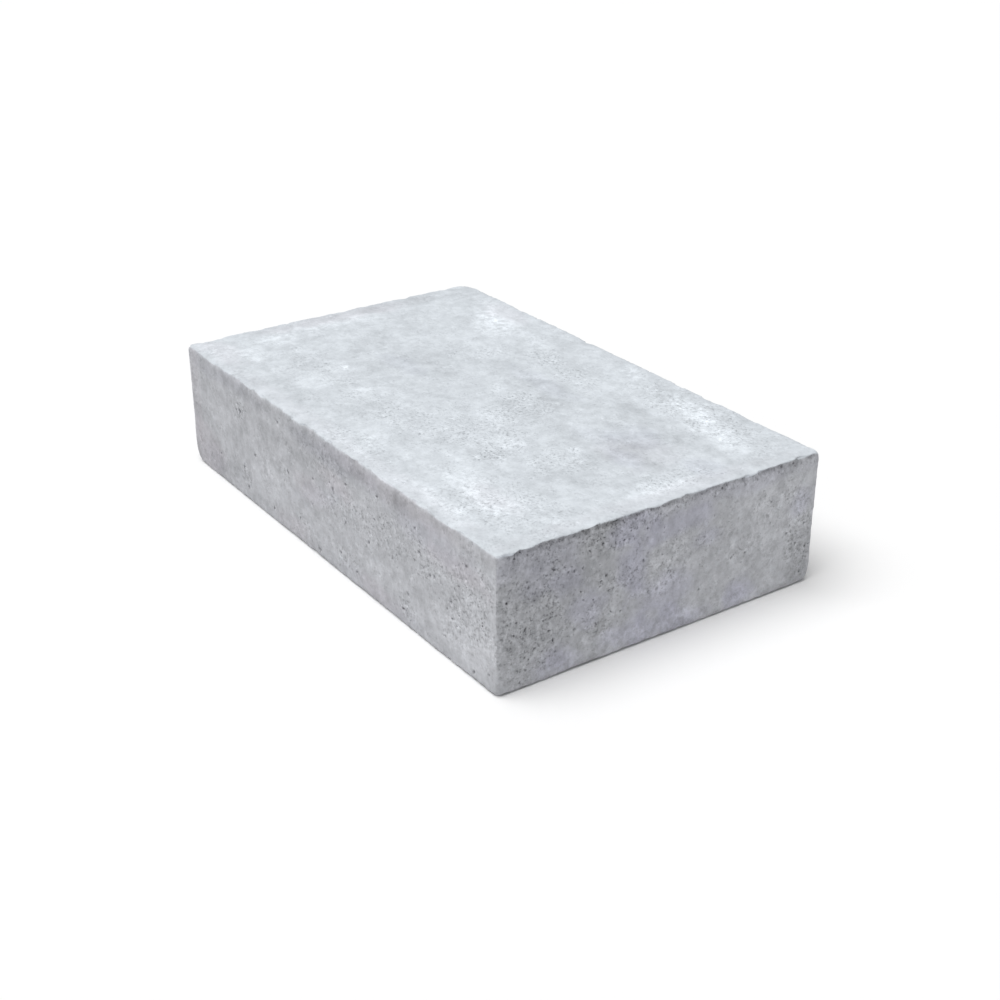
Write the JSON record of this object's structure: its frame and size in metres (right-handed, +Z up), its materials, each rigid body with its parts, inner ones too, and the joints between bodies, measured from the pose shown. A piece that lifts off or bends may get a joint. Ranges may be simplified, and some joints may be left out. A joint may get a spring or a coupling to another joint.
{
  "type": "solid concrete block",
  "caption": "Solid rectangular concrete building block with nearly square top edges, a rubbed bed edge and worn corners, for laying flat or on edge in mortar.",
  "frame": {"origin": "middle of the bed, the face that the block lies on", "axes": "+X along the length, +Y across the width, +Z up through the height, away from the bed"},
  "size_m": [0.39, 0.24, 0.09],
  "materials": {
    "concrete": "matte"
  },
  "bodies": {
    "root": {"block": "concrete"}
  },
  "joints": []
}
